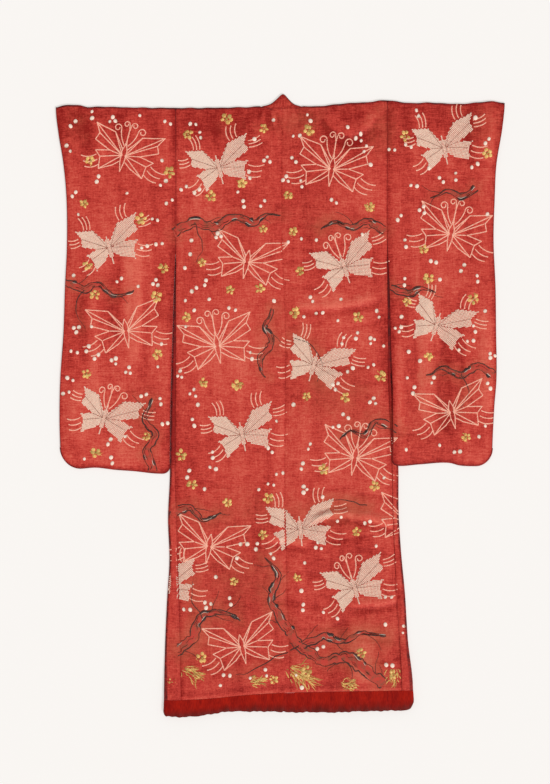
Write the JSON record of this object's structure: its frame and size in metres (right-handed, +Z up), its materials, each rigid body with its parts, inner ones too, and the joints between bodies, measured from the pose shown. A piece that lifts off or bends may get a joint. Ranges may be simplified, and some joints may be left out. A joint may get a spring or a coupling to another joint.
{
  "type": "furisode kimono",
  "caption": "Long-sleeved padded silk kimono laid out flat on its front, back upwards, with both sleeves spread and a padded hem.",
  "frame": {"origin": "middle of the laid-out garment's footprint, on the surface it lies on", "axes": "+Y from the hem towards the collar, +X towards the right of the back as seen from above, +Z up from the surface"},
  "size_m": [1.2368, 1.7178, 0.0187],
  "materials": {
    "figured_silk": "soft red figured silk with a fine cross rib and a low sheen",
    "plain_lining": "plain deep red silk over padding, low sheen",
    "undyed_silk": "pale undyed spots of tie-resist work, matt",
    "gold_thread": "flat gold-wrapped thread, couched, soft metallic sheen",
    "dark_thread": "brown and black floss silk in satin stitch"
  },
  "bodies": {
    "root": {"body_left": "figured_silk", "body_right": "figured_silk", "overlap_left": "figured_silk", "overlap_right": "figured_silk", "sleeve_left": "figured_silk", "sleeve_right": "figured_silk", "collar": "figured_silk", "hem_roll": "plain_lining"}
  },
  "joints": []
}
